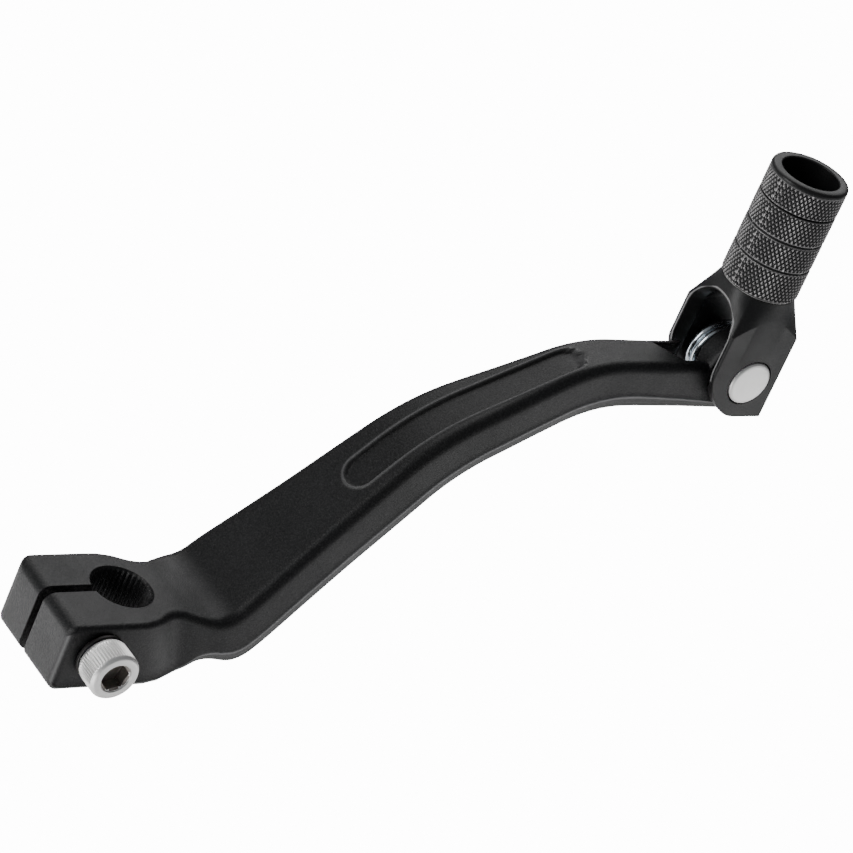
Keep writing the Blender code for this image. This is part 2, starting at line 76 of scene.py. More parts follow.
def grid(name, rows):
    """A closed tube through rings of points, rows x columns x 3 in millimetres."""
    rows = np.asarray(rows, float)
    m, n, _ = rows.shape
    i, j = np.meshgrid(np.arange(m - 1), np.arange(n), indexing="ij")
    k = (j + 1) % n
    faces = np.stack([i * n + j, i * n + k, (i + 1) * n + k, (i + 1) * n + j], -1).reshape(-1, 4).tolist()
    faces.append(list(range(n)))
    faces.append([(m - 1) * n + c for c in range(n)])
    mesh = bpy.data.meshes.new(name)
    mesh.from_pydata((rows.reshape(-1, 3) * MM).tolist(), [], faces)
    bm = bmesh.new()
    bm.from_mesh(mesh)
    bpy.data.meshes.remove(mesh)
    return from_bmesh(name, bm)


def prism(name, outline, low, high, plane="xy"):
    """A flat outline in the xy or xz plane, pushed from low to high along the axis that is left."""
    rows = []
    for level in (low, high):
        rows.append([(a, b, level) if plane == "xy" else (a, level, b) for a, b in outline])
    return grid(name, rows)


def turned(name, profile, at, steps):
    """A closed body turned about a line along Y through a point, from (radius, y) points in order."""
    rings = []
    for i in range(steps):
        a = math.tau * i / steps
        rings.append([(r * math.cos(a), y, -r * math.sin(a)) for r, y in profile])
    pts = np.array(rings) + np.array(at)
    n, m, _ = pts.shape
    bm = bmesh.new()
    verts = [[bm.verts.new(p * MM) for p in ring] for ring in pts]
    for a in range(n):
        b = (a + 1) % n
        for c in range(m - 1):
            bm.faces.new((verts[a][c], verts[b][c], verts[b][c + 1], verts[a][c + 1]))
    bmesh.ops.remove_doubles(bm, verts=bm.verts, dist=1e-7)
    return from_bmesh(name, bm)


def cylinder(name, radius, at, low, high, steps):
    return turned(name, [(0.0, low), (radius, low), (radius, high), (0.0, high)], at, steps)


def apply(target, *others, operation="DIFFERENCE"):
    """Cuts, joins or keeps what is common, and removes the other bodies."""
    for other in others:
        step = target.modifiers.new("cut", "BOOLEAN")
        step.operation = operation
        step.solver = "EXACT"
        step.object = other
        bake(target)
        bpy.data.objects.remove(other)
    return target


def bake(item):
    bpy.context.view_layer.update()
    evaluated = item.evaluated_get(bpy.context.evaluated_depsgraph_get())
    mesh = bpy.data.meshes.new_from_object(evaluated)
    item.modifiers.clear()
    item.data = mesh
    return item


def clean(item):
    """Welds the slivers that the cuts leave, and closes any gap that is left."""
    bm = bmesh.new()
    bm.from_mesh(item.data)
    bmesh.ops.remove_doubles(bm, verts=bm.verts, dist=0.000002)
    bmesh.ops.dissolve_degenerate(bm, edges=bm.edges, dist=0.000002)
    bmesh.ops.holes_fill(bm, edges=[e for e in bm.edges if e.is_boundary], sides=0)
    bmesh.ops.delete(bm, geom=[v for v in bm.verts if not v.link_faces], context="VERTS")
    bm.to_mesh(item.data)
    bm.free()


def smooth(item, degrees=32.0):
    item.data.shade_smooth()
    item.data.set_sharp_from_angle(angle=math.radians(degrees))
    return item


def arc(cx, cy, r, start, end, steps):
    turns = np.radians(np.linspace(start, end, steps + 1))
    return [(cx + r * math.cos(a), cy + r * math.sin(a)) for a in turns]


def quad_curve(a, b, c, steps):
    """Points of a quadratic curve from a to c, pulled to b."""
    t = np.linspace(0.0, 1.0, steps + 1)[:, None]
    a, b, c = np.array(a, float), np.array(b, float), np.array(c, float)
    return ((1 - t) ** 2 * a + 2 * t * (1 - t) * b + t * t * c).tolist()


def rounded_line(corners, reaches, curve_steps, straight_steps):
    corners = [np.array(c, float) for c in corners]
    points = [corners[0]]
    for before, corner, after, reach, run in zip(corners, corners[1:], corners[2:], reaches, straight_steps):
        start = corner + (before - corner) / np.linalg.norm(before - corner) * reach
        end = corner + (after - corner) / np.linalg.norm(after - corner) * reach
        first = points[-1]
        points += [first + (start - first) * (i + 1) / run for i in range(run)]
        points += [np.array(p) for p in quad_curve(start, corner, end, curve_steps)[1:]]
    first, run = points[-1], straight_steps[-1]
    points += [first + (corners[-1] - first) * (i + 1) / run for i in range(run)]
    return np.array(points)


def soft_interp(x, table, spread=1.2):
    """Table values at x, with the table's corners smoothed."""
    xs, vs = zip(*table)
    offsets = np.linspace(-2.5, 2.5, 21)
    weights = np.exp(-offsets ** 2 / 2)
    return sum(w * np.interp(x + o * spread, xs, vs) for o, w in zip(offsets, weights)) / weights.sum()


# ---------------------------------------------------------------- arm

ARM_TOP = [(-17.1, 0.0), (8.0, 0.0), (13.0, -0.8), (18.2, -0.8), (52.8, 37.8), (86.4, 53.9), (110.5, 53.4)]
ARM_BOTTOM = [(-17.1, -14.6), (13.4, -14.6), (17.8, -10.4), (24.4, -11.0), (61.2, 29.8), (89.8, 43.4),
              (110.5, 43.5)]
TOP_REACH = [2.5, 1.9, 3.1, 10.0, 8.0]
BOTTOM_REACH = [2.0, 2.2, 3.6, 8.0, 7.0]
HALF_WIDTH = [(-20, 11.3), (2, 11.3), (5, 10.7), (8, 9.1), (10.5, 8.3), (13, 8.9), (16, 10.5), (19, 11.3),
              (25, 11.3), (32, 10.3), (39, 9.4), (46, 8.75), (53, 8.05), (60, 7.55), (67, 7.0), (74, 6.3),
              (81, 5.7), (88, 5.4), (95, 5.2), (104, 5.1), (140, 4.9)]
MIDDLE_Y = [(-20, -0.35), (6, -0.35), (14, 0.0), (140, 0.0)]
TOP_ROUND = [(-20, 1.1), (6, 1.2), (12, 1.8), (20, 2.2), (104, 2.0), (118, 1.2), (140, 1.0)]
FOLD_IN = [(-20, 0.7), (12, 0.7), (18, 1.1), (98, 1.1), (110, 0.7), (140, 0.4)]
FOLD_UP = [(-20, 0.9), (12, 1.4), (19, 3.3), (98, 3.0), (110, 2.2), (140, 0.5)]
END_ROUND = 2.2
FAR_ROUND, NEAR_ROUND = 3.0, 1.5
BOSS_LOW = -14.6
PANEL = dict(start=40.5, end=85.0, half=(3.35, 2.95), middle=(-1.0, 0.05), depth=0.6, wall=0.45, lip=0.13)
EYE_R = 8.6
# How bright the painted highlights are along the panel's lip, the parting ridge and the end face's near edge
LIP_SHINE, RIDGE_SHINE, RIDGE_WIDTH = 0.22, 0.55, 0.09
END_SHINE = dict(peak=0.25, run=0.3, width=0.2, half_height=6.4)
# Cuts and additions at the eye. The hub is (radius, y), the nose (x, z), both from the pivot.
POCKET = [(110.6, 5.6), (113.6, -0.1), (140.0, -0.1), (140.0, 14.0), (110.6, 14.0)]
POCKET_Z = 38.0, 66.0
NOTCH = [(104.4, 3.2), (108.6, -2.7), (114.4, -3.0), (114.4, 3.2)]
NOTCH_Z = 47.5, 66.0
HUB = [(0.0, -2.0), (4.9, -2.0), (4.9, 5.3), (4.5, 5.7), (0.0, 5.7)]
NOSE = [(0.9, 0.0), (0.9, 11.4), (1.9, 12.2), (5.8, 12.2), (6.7, 11.2), (6.7, 0.0)]
NOSE_Y = -4.6, -0.2


def section(half, height, top_r, fold, across):
    """One ring across the arm: flat bottom, drafted sides, parting ridge, upright sides, round top."""
    top_r = min(top_r, 0.45 * height, 0.9 * half)
    fold_in, fold_up = min(fold[0], 0.4 * height), min(fold[1], 0.45 * height)
    drafted = math.hypot(fold_in, fold_up)
    foot, ridge = min(0.5, 0.35 * drafted), min(0.5, 0.18 * fold_up)
    slope = np.array([fold_in, fold_up]) / drafted
    low, high = np.array([half - fold_in, 0.0]), np.array([half, fold_up])
    right = quad_curve(low - (foot, 0.0), low, low + slope * foot, 4)
    right += quad_curve(high - slope * ridge, high + (0.7 * ridge, 0.2 * ridge), high + (0.0, ridge), 5)
    side_low, side_high = fold_up + ridge, height - top_r
    right += [(half, side_low + (side_high - side_low) * i / 5) for i in range(1, 5)]
    right += arc(half - top_r, height - top_r, top_r, 0.0, 90.0, 8)
    left = [(-u, v) for u, v in reversed(right)]
    span = half - top_r
    top = [(u, height) for u in np.linspace(span, -span, across + 1)[1:-1]]
    inner = half - fold_in - foot
    bottom = [(u, 0.0) for u in np.linspace(-inner, inner, 9)[1:-1]]
    return np.array(right + top + left + bottom)


def eye_stations(count):
    """The tongue's outer and inner lines from the arm to the far side of the eye."""
    lead = np.linspace(110.5, PIVOT[0] - EYE_R - 0.25, 8)[1:]
    turn = np.radians(np.linspace(-90.0, 89.0, count))
    xs = np.concatenate([lead, PIVOT[0] + EYE_R * np.sin(turn)[1:]])
    reach = np.clip(EYE_R ** 2 - (xs - PIVOT[0]) ** 2, 0.0, None)
    crown = PIVOT[2] + np.sqrt(reach)
    shoulder = 53.4 - 30.0 * np.clip((xs - PIVOT[0]) / EYE_R, 0.0, None) ** 2
    top = 0.6 * np.logaddexp(crown / 0.6, shoulder / 0.6)
    top = np.where(xs > PIVOT[0] + 2.0, crown, top)
    lowest = 43.5 + (PIVOT[2] - EYE_R - 43.5) * np.clip((xs - 110.5) / 10.0, 0.0, 1.0)
    bottom = np.where(xs < PIVOT[0], lowest, PIVOT[2] - np.sqrt(reach))
    return np.stack([xs, top], 1), np.stack([xs, bottom], 1)


def sink_panel(u, along, total):
    """How far the stadium-shaped panel lies below the arm's face, and how near its raised lip is."""
    share = np.clip(along / total, 0.0, 1.0)
    half = PANEL["half"][0] + (PANEL["half"][1] - PANEL["half"][0]) * share
    past = np.maximum(half - along, along - (total - half)).clip(0.0)
    gap = np.hypot(past, u - PANEL["middle"][0] * (1 - share) - PANEL["middle"][1] * share) - half
    t = np.clip(0.5 - gap / PANEL["wall"], 0.0, 1.0)
    lip = np.exp(-((gap - PANEL["wall"]) / 0.3) ** 2)
    return PANEL["depth"] * t * t * (3 - 2 * t) - PANEL["lip"] * lip, lip


def make_arm():
    fine = 2
    straights = [8, 3, 4, 64 * fine, 44 * fine, 24 * fine]
    top = rounded_line(ARM_TOP, TOP_REACH, 8 * fine, straights)
    bottom = rounded_line(ARM_BOTTOM, BOTTOM_REACH, 8 * fine, straights)
    eye_top, eye_bottom = eye_stations(30)
    top, bottom = np.concatenate([top, eye_top]), np.concatenate([bottom, eye_bottom])
    across = 36 * fine
    rings, highlight_paint = [], []
    inside = (top[:, 0] >= PANEL["start"]) & (top[:, 0] <= PANEL["end"])
    steps = np.r_[0.0, np.linalg.norm(np.diff(top, axis=0), axis=1)].cumsum()
    first, last = steps[inside][0], steps[inside][-1]
    for index, (t, b) in enumerate(zip(top, bottom)):
        rise = t - b
        height = np.linalg.norm(rise)
        up = rise / height
        x = (t[0] + b[0]) / 2
        ring = section(float(soft_interp(x, HALF_WIDTH)), height, float(np.interp(x, *zip(*TOP_ROUND))),
                       [float(np.interp(x, *zip(*table))) for table in (FOLD_IN, FOLD_UP)], across)
        u, v = ring[:, 0], ring[:, 1]
        on_top = v > height - 0.6
        drop, lip = sink_panel(u, steps[index] - first, last - first)
        v = np.where(on_top, v - drop, v)
        crest = np.interp(x, *zip(*FOLD_UP))
        # Painted highlight lines along the parting ridge and the panel's raised lip, kept per point for the
        # coat's colour
        ridge = np.exp(-((v - crest - 0.1) / (RIDGE_WIDTH * crest)) ** 2) * np.clip((x - 8.0) / 8.0, 0.0, 1.0)
        highlight_paint.append(np.where(on_top, LIP_SHINE * lip, RIDGE_SHINE * ridge))
        y = u + np.interp(x, *zip(*MIDDLE_Y))
        rings.append(np.stack([b[0] + up[0] * v, y, b[1] + up[1] * v], 1))
    rings, highlight_paint = round_end(rings, highlight_paint)
    arm = grid("forged_arm", rings)
    arm.data.attributes.new("highlight_paint", "FLOAT", "POINT").data.foreach_set("value", np.ravel(highlight_paint))
    cut_arm(arm)
    return arm


def inset_at(run, radius):
    """How far a rounded edge stands in from the side, at a distance in from the end face."""
    return radius * (1 - math.sqrt(max(0.0, 1 - (1 - min(run / radius, 1.0)) ** 2)))


def round_end(rings, highlight_paint):
    """The boss's end face, with its edges rounded by rings that shrink towards its middle, and a painted
    highlight line along its near edge.
    """
    first = rings[0]
    middle = np.array([first[0, 0], MIDDLE_Y[0][1], BOSS_LOW / 2])
    size = np.abs(first - middle).max(axis=0)
    near = first[:, 1] < middle[1]
    # The near half of the end face's edge gets a painted highlight line
    painted_highlight = near & (np.abs(first[:, 2] - middle[2]) < END_SHINE["half_height"])
    start, edge = [], []
    for a in np.radians(np.linspace(0.0, 90.0, 15)):
        run = FAR_ROUND * (1 - math.cos(a))
        ring = first.copy()
        for axis, inset in ((1, np.where(near, inset_at(run, NEAR_ROUND), inset_at(run, FAR_ROUND))),
                            (2, inset_at(run, END_ROUND))):
            ring[:, axis] = middle[axis] + (first[:, axis] - middle[axis]) * (1 - inset / size[axis])
        ring[:, 0] = first[0, 0] + run
        start.append(ring)
        glint = END_SHINE["peak"] * math.exp(-((run - END_SHINE["run"]) / END_SHINE["width"]) ** 2)
        edge.append(np.where(painted_highlight, glint, 0.0))
    kept = [i for i, r in enumerate(rings) if r[:, 0].min() > first[0, 0] + FAR_ROUND + 0.2]
    return start + [rings[i] for i in kept], edge + [highlight_paint[i] for i in kept]


def cut_arm(arm):
    steps = 128
    x, z = PIVOT[0], PIVOT[2]
    apply(arm, prism("pocket", POCKET, *POCKET_Z), prism("notch", NOTCH, *NOTCH_Z))
    hub = turned("hub", HUB, (x, 0.0, z), steps)
    nose = prism("nose", [(x + a, z + b) for a, b in NOSE], *NOSE_Y, "xz")
    apply(arm, nose, hub, operation="UNION")
    apply(arm, cylinder("rivet_hole", RIVET_HOLE_R, (x, 0.0, z), -FAR, FAR, steps))
    apply(arm, bore_cutter())
    half = CLAMP_SLOT_HALF
    apply(arm, prism("slot", [(-FAR, -half), (0.0, -half), (0.0, half), (-FAR, half)], -FAR, FAR))
    apply(arm, cylinder("bolt_hole", BOLT_HOLE_R, (BOLT_X, 0.0, BOLT_Z), -FAR, FAR, steps))
    clean(arm)
    smooth(arm, 38.0)


def bore_cutter():
    """The bore with its small V serrations and a chamfered rim at each face."""
    teeth, tooth = 36, 0.42
    rows = []
    for z, rim in ((3.0, 6.5), (0.0, 6.3), (-0.3, 6.12), (-0.5, 0.0), (BOSS_LOW + 0.5, 0.0),
                   (BOSS_LOW + 0.3, 6.12), (BOSS_LOW, 6.3), (BOSS_LOW - 3.0, 6.5)):
        ring = []
        for i in range(teeth * 4):
            a = math.tau * i / (teeth * 4)
            radius = rim or BORE_R - tooth * (0.0, 0.5, 1.0, 0.5)[i % 4]
            ring.append((radius * math.cos(a), radius * math.sin(a), z))
        rows.append(ring)
    return grid("bore", rows)


# ---------------------------------------------------------------- toe peg

FORK_HALF_X, FORK_HALF_Y, FORK_BOTTOM = 8.55, 8.05, 43.7
SLOT_HALF, SLOT_TOP, FLARE, FLARE_DEPTH = 6.0, 66.6, 1.0, 3.0
SHOULDER_Z, SHOULDER_SLOPE = 66.0, 1.05
GRIP_LOW, GRIP_TOP, GRIP_R, HOLLOW_R, NECK_R = 70.4, 95.5, 8.03, 5.95, 7.65
GROOVES = (89.4, 83.3, 77.3)
FLUTES, KNURL_PITCH, KNURL_DEPTH = 54, 1.46, 0.3


def make_fork():
    steps = 160
    left, right = PEG_X - FORK_HALF_X, PEG_X + FORK_HALF_X
    corner = quad_curve((left, 54.4), (left + 0.2, 50.6), (left + 3.6, 47.0), 8)
    corner += quad_curve((left + 3.6, 47.0), (left + 6.6, FORK_BOTTOM), (left + 10.0, FORK_BOTTOM), 8)[1:]
    outline = [(right + 4.0, 80.0), (left - 4.0, 80.0), (left - 4.0, 54.4)] + [tuple(p) for p in corner]
    outline += [(right + 4.0, FORK_BOTTOM)]
    fork = prism("peg_fork", outline, -FORK_HALF_Y - 4.0, FORK_HALF_Y + 4.0, "xz")
    apply(fork, fork_shoulder(), operation="INTERSECT")
    apply(fork, fork_slot())
    x, z = PIVOT[0], PIVOT[2]
    apply(fork, cylinder("hole", 3.3, (x, 0.0, z), -FAR, FAR, steps))
    for low, high in ((-FAR, -6.85), (6.85, FAR)):
        apply(fork, cylinder("recess", 5.03, (x, 0.0, z), low, high, steps))
    end = SPRING_ROUTE[-1]
    apply(fork, cylinder("leg_hole", LEG_HOLE_R, (end[0], 0.0, end[2]), 1.0, FAR, 32))
    clean(fork)
    return smooth(fork, 14.0)


def fork_shoulder():
    """The fork's four flats and the shoulder above them, which is ruled up to the neck's circle."""
    corners = []
    kinds = ((1, 1, 0, 0.35), (-1, 1, 90, 0.5), (-1, -1, 180, 0.5), (1, -1, 270, 0.35))
    for sx, sy, start, rounding in kinds:
        cx, cy = sx * (FORK_HALF_X - rounding), sy * (FORK_HALF_Y - rounding)
        corners.append(np.array(arc(cx, cy, rounding, start, start + 90, 9)))
    flat = []
    for corner, following in zip(corners, corners[1:] + corners[:1]):
        gap = following[0] - corner[-1]
        flat += corner.tolist() + [(corner[-1] + gap * i / 24).tolist() for i in range(1, 24)]
    rows = [[(x, y, 38.0) for x, y in flat]]
    crease = []
    for x, y in flat:
        reach = math.hypot(x, y)
        crease.append((x, y, SHOULDER_Z - SHOULDER_SLOPE * (reach - FORK_HALF_Y)))
    rows.append(crease)
    for share in (0.25, 0.5, 0.75, 1.0):
        row = []
        for x, y, z in crease:
            reach = math.hypot(x, y)
            top = (x / reach * NECK_R, y / reach * NECK_R, GRIP_LOW - 0.3)
            row.append(tuple(a + (b - a) * share for a, b in zip((x, y, z), top)))
        rows.append(row)
    rows.append([(x * 0.95, y * 0.95, GRIP_LOW) for x, y, _ in rows[-1]])
    rows = [[(x + PEG_X, y, z) for x, y, z in row] for row in rows]
    return grid("shoulder", rows)


def fork_slot():
    """The slot between the ears with its round top, widening to the mouth on the arm's side."""
    left = PEG_X - FORK_HALF_X
    slope = FLARE / FLARE_DEPTH
    rows = []
    for x, half in ((left - 4.0, SLOT_HALF + FLARE + 4.0 * slope), (left + FLARE_DEPTH, SLOT_HALF),
                    (left + FLARE_DEPTH + 1.5, SLOT_HALF), (PEG_X + 14.0, SLOT_HALF)):
        springing = SLOT_TOP - SLOT_HALF
        ring = [(half, 38.0)] + arc(0.0, springing, half, 0.0, 180.0, 40) + [(-half, 38.0)]
        rows.append([(x, y, z) for y, z in ring])
    return grid("fork_slot", rows)


def knurl(theta, z):
    """Height of the diamond knurl, 0 in its crossing grooves and 1 on its points."""
    around = theta / math.tau * FLUTES
    a = np.abs(2 * ((around + z / KNURL_PITCH) % 1.0) - 1)
    b = np.abs(2 * ((around - z / KNURL_PITCH) % 1.0) - 1)
    return np.clip(np.minimum(1 - a, 1 - b), 0.0, 0.8) / 0.8


def make_grip():
    """The knurled grip: a sleeve with a turned groove between its bands and a plain ring at its mouth."""
    per = 8
    theta = np.arange(FLUTES * per) * math.tau / (FLUTES * per)
    zs = np.arange(GRIP_LOW, 94.5, KNURL_PITCH / (9))
    rows = [np.full_like(theta, 0.0) + 6.6, np.full_like(theta, 7.55)]
    heights = [GRIP_LOW - 0.2, GRIP_LOW - 0.2]
    edges = np.array((GRIP_LOW,) + GROOVES)
    for z in zs:
        gap = np.abs(z - edges).min()
        band = np.clip((gap - 0.28) / 0.25, 0.0, 1.0)
        end = np.clip((94.5 - z) / 0.3, 0.0, 1.0)
        depth = 0.42 * np.clip(1.0 - gap / 0.34, 0.0, 1.0)
        fade = band * end
        rows.append(GRIP_R - depth - KNURL_DEPTH * fade * (1 - knurl(theta, z)) - 0.04 * (1 - fade))
        heights.append(z)
    for radius, z in ((GRIP_R - 0.04, 94.55), (GRIP_R - 0.02, 94.75), (GRIP_R - 0.06, 95.05),
                      (GRIP_R - 0.2, 95.33), (7.5, 95.5), (6.4, GRIP_TOP), (HOLLOW_R + 0.18, GRIP_TOP - 0.03),
                      (HOLLOW_R, GRIP_TOP - 0.22), (HOLLOW_R, 85.0), (HOLLOW_R, 76.6), (HOLLOW_R - 0.5, 75.6),
                      (2.0, 74.2), (0.4, 73.6)):
        rows.append(np.full_like(theta, radius))
        heights.append(z)
    pts = [np.stack([PEG_X + r * np.cos(theta), r * np.sin(theta), np.full_like(theta, z)], 1)
           for r, z in zip(rows, heights)]
    return smooth(grid("peg_grip", pts), 40.0)


# ---------------------------------------------------------------- fasteners

HEAD_R, HEAD_HEIGHT, HEAD_SEAT, HEAD_FLUTE = 5.0, 5.7, 1.4, 0.3
SHANK_R, SHANK_LENGTH, THREAD_PITCH, THREAD_DEPTH = 2.95, 22.0, 1.0, 0.5
SOCKET_R, SOCKET_DEPTH = 2.9, 3.0
RIVET_R, RIVET_HEAD_R, RIVET_HEAD_SEAT, RIVET_END = 3.0, 4.73, 7.15, 8.5


def make_bolt():
    """Socket head cap screw along Y: knurled head with a chamfered rim, hex socket and threaded shank."""
    flutes = 52
    per = 6
    theta = np.arange(flutes * per) * math.tau / (flutes * per)
    under = SEAT_Y - HEAD_SEAT
    top = under - HEAD_HEIGHT
    ridge = np.abs(2 * ((theta / math.tau * flutes) % 1.0) - 1)
    profile = [(0.3, top, 0), (3.2, top, 0), (4.25, top, 0), (4.5, top + 0.06, 0), (4.72, top + 0.3, 0),
               (4.86, top + 0.5, 0), (HEAD_R, top + 0.72, 0.4), (HEAD_R, top + 1.0, 1), (HEAD_R, top + 3.0, 1),
               (HEAD_R, under - 0.9, 1), (HEAD_R, under - 0.6, 0.3), (4.9, under - 0.3, 0), (4.75, under, 0),
               (3.1, under, 0)]
    rows = []
    for radius, y, cut in profile:
        rows.append(bolt_ring(radius - HEAD_FLUTE * cut * ridge ** 1.5, theta, y))
    tip = under + SHANK_LENGTH
    for y in np.arange(under + 0.1, tip, THREAD_PITCH / (10)):
        phase = np.abs(2 * ((y / THREAD_PITCH - theta / math.tau) % 1.0) - 1)
        threaded = np.clip((y - under - 2.0) / 0.6, 0.0, 1.0)
        point = np.clip((tip - y) / 0.8, 0.0, 1.0)
        r = SHANK_R - threaded * THREAD_DEPTH * np.clip(1.2 * phase - 0.1, 0.0, 1.0) - 0.8 * (1 - point)
        rows.append(bolt_ring(r, theta, y))
    bolt = grid("cap_screw", rows)
    funnel = [(0.0, top - 1.0), (3.6, top - 1.0), (3.0, top + 0.35), (2.0, top + 0.9), (0.0, top + 0.9)]
    lead = turned("lead", funnel, (BOLT_X, 0.0, BOLT_Z), 64)
    corners = np.radians(np.arange(14, 374, 60))
    hexagon = [(BOLT_X + SOCKET_R * math.cos(a), BOLT_Z + SOCKET_R * math.sin(a)) for a in corners]
    apply(bolt, prism("hexagon", hexagon, top - 1.0, top + SOCKET_DEPTH, "xz"), lead)
    clean(bolt)
    return smooth(bolt, 34.0)


def bolt_ring(radius, theta, y):
    """Points round the bolt's axis at one y."""
    across, up = BOLT_X + radius * np.cos(theta), BOLT_Z + radius * np.sin(theta)
    return np.stack([across, np.full_like(theta, y), up], 1)


def make_washer():
    """Split spring washer: a square-section ring whose ends are cut on a slant and stand apart."""
    inner, outer, thick = 3.25, 4.9, 0.8
    soft = 0.14
    base = SEAT_Y - 0.3 - thick
    profile = [(inner, soft), (inner + soft, 0.0), (outer - soft, 0.0), (outer, soft), (outer, thick - soft),
               (outer - soft, thick), (inner + soft, thick), (inner, thick - soft)]
    rows = []
    for turn in np.radians(np.linspace(4.5, 355.5, 90)):
        rows.append([((BOLT_X + r * math.cos(turn + 1.05 + h * 0.05)), base + h,
                      BOLT_Z + r * math.sin(turn + 1.05 + h * 0.05)) for r, h in profile])
    return smooth(grid("spring_washer", rows), 40.0)


def make_rivet():
    """The pin with a low turned head on the near side and a formed head with a dimple on the far side."""
    near, far, r, seat = -RIVET_END, RIVET_END, RIVET_HEAD_R, RIVET_HEAD_SEAT
    head = [(0.0, near), (3.9, near), (4.35, near + 0.05), (4.6, near + 0.2), (r, near + 0.42), (r, -seat)]
    shank = [(RIVET_R, -seat), (RIVET_R, seat)]
    formed = [(r, seat), (r, far - 0.5), (r - 0.25, far - 0.2), (4.0, far - 0.02), (3.0, far),
              (1.5, far - 0.04), (1.2, far - 0.35), (0.0, far - 0.5)]
    return smooth(turned("pin", head + shank + formed, tuple(PIVOT), 96), 34.0)


# ---------------------------------------------------------------- spring

WIRE_R, COIL_R, COIL_PITCH, COIL_START_Y = 0.8, 6.0, 1.65, 1.0
COIL_START, COIL_SWEEP = 215.0, 805.0
LEG_REACH, LEG_DROP, LEG_BEND, LEG_PIN = 13.0, 2.6, 1.3, 1.6


def spring_route():
    steps = 150
    turns = COIL_SWEEP * np.arange(steps + 1) / steps
    a = np.radians(COIL_START + turns)
    rise = COIL_START_Y + COIL_PITCH * turns / 360.0
    coil = PIVOT + np.stack([COIL_R * np.cos(a), rise, COIL_R * np.sin(a)], 1)
    elbow = (PIVOT[0] - LEG_REACH + 5.0, PIVOT[2] - LEG_DROP)
    back = (coil[0] - coil[1]) / np.linalg.norm(coil[0] - coil[1]) * 1.6
    start = (coil[0][0], coil[0][2])
    t = np.linspace(0.0, 1.0, 13)[:, None]
    p0, p1 = np.array(elbow), np.array([elbow[0] + 1.4, elbow[1]])
    p2, p3 = np.array([start[0] + back[0], start[1] + back[2]]), np.array(start)
    bend = (1 - t) ** 3 * p0 + 3 * t * (1 - t) ** 2 * p1 + 3 * t * t * (1 - t) * p2 + t ** 3 * p3
    leg = [(PIVOT[0] - LEG_REACH, COIL_START_Y, PIVOT[2] - LEG_DROP)]
    leg += [(x, COIL_START_Y, z) for x, z in bend[:-1]]
    heading = coil[-1] - coil[-2]
    heading /= np.linalg.norm(heading)
    heading[1] = 0.0
    turn_in = [coil[-1] + heading * LEG_BEND * math.sin(q) + np.array([0, LEG_BEND * (1 - math.cos(q)), 0])
               for q in np.radians(np.arange(11.25, 91, 11.25))]
    turn_in.append(turn_in[-1] + (0, LEG_PIN, 0))
    return np.array(leg + coil.tolist() + [p.tolist() for p in turn_in])


SPRING_ROUTE = spring_route()


def make_spring():
    sides = 14
    route = SPRING_ROUTE
    tangent = np.gradient(route, axis=0)
    tangent /= np.linalg.norm(tangent, axis=1)[:, None]
    normal = np.cross(tangent[0], (0.0, 1.0, 0.0))
    rows = []
    for place, along in zip(route, tangent):
        normal = normal - along * np.dot(normal, along)
        normal /= np.linalg.norm(normal)
        side = np.cross(along, normal)
        a = np.arange(sides) * math.tau / sides
        rows.append(place + WIRE_R * (np.cos(a)[:, None] * normal + np.sin(a)[:, None] * side))
    for end, inward in ((0, 1), (-1, -2)):
        direction = route[end] - route[inward]
        direction /= np.linalg.norm(direction)
        middle = rows[end].mean(axis=0)
        extra = [middle + (rows[end] - middle) * 0.7 + direction * 0.18]
        rows = extra + rows if end == 0 else rows + extra
    return smooth(grid("torsion_spring", rows), 50.0)


# ---------------------------------------------------------------- materials

# Strength of the white surroundings: for the camera, and for every other ray
GLOW, FILL = 14.0, 0.18


def material(name):
    made = bpy.data.materials.new(name)
    made.use_nodes = True
    return made, made.node_tree, made.node_tree.nodes["Principled BSDF"]


def node(tree, kind, **inputs):
    made = tree.nodes.new(kind)
    for key, value in inputs.items():
        key = key.replace("_", " ")
        if key in made.inputs:
            made.inputs[key].default_value = value
        else:
            setattr(made, key.replace(" ", "_"), value)
    return made


def coords(tree, scale=(1.0, 1.0, 1.0)):
    place = tree.nodes.new("ShaderNodeTexCoord")
    mapping = tree.nodes.new("ShaderNodeMapping")
    mapping.inputs["Scale"].default_value = scale
    tree.links.new(place.outputs["Object"], mapping.inputs["Vector"])
    return mapping.outputs["Vector"]


def noise(tree, vector, scale, detail=3.0, roughness=0.55):
    made = node(tree, "ShaderNodeTexNoise", Scale=scale, Detail=detail, Roughness=roughness)
    tree.links.new(vector, made.inputs["Vector"])
    return made.outputs["Fac"]


def span(tree, value, low, high, to_low, to_high):
    made = tree.nodes.new("ShaderNodeMapRange")
    for key, number in (("From Min", low), ("From Max", high), ("To Min", to_low), ("To Max", to_high)):
        made.inputs[key].default_value = number
    tree.links.new(value, made.inputs["Value"])
    return made.outputs["Result"]


def mix_colour(tree, factor, a, b):
    made = tree.nodes.new("ShaderNodeMix")
    made.data_type = "RGBA"
    for index, value in ((6, a), (7, b)):
        if isinstance(value, tuple):
            made.inputs[index].default_value = (*value, 1.0)
        else:
            tree.links.new(value, made.inputs[index])
    tree.links.new(factor, made.inputs[0])
    return made.outputs[2]


def bump(tree, heights, edge=0.0):
    """Stacks (height, strength, distance) bumps over a rounded-edge normal."""
    normal = None
    if edge:
        rim = node(tree, "ShaderNodeBevel", Radius=edge)
        rim.samples = 6
        normal = rim.outputs["Normal"]
    for height, strength, distance in heights:
        made = node(tree, "ShaderNodeBump", Strength=strength, Distance=distance)
        tree.links.new(height, made.inputs["Height"])
        if normal is not None:
            tree.links.new(normal, made.inputs["Normal"])
        normal = made.outputs["Normal"]
    return normal


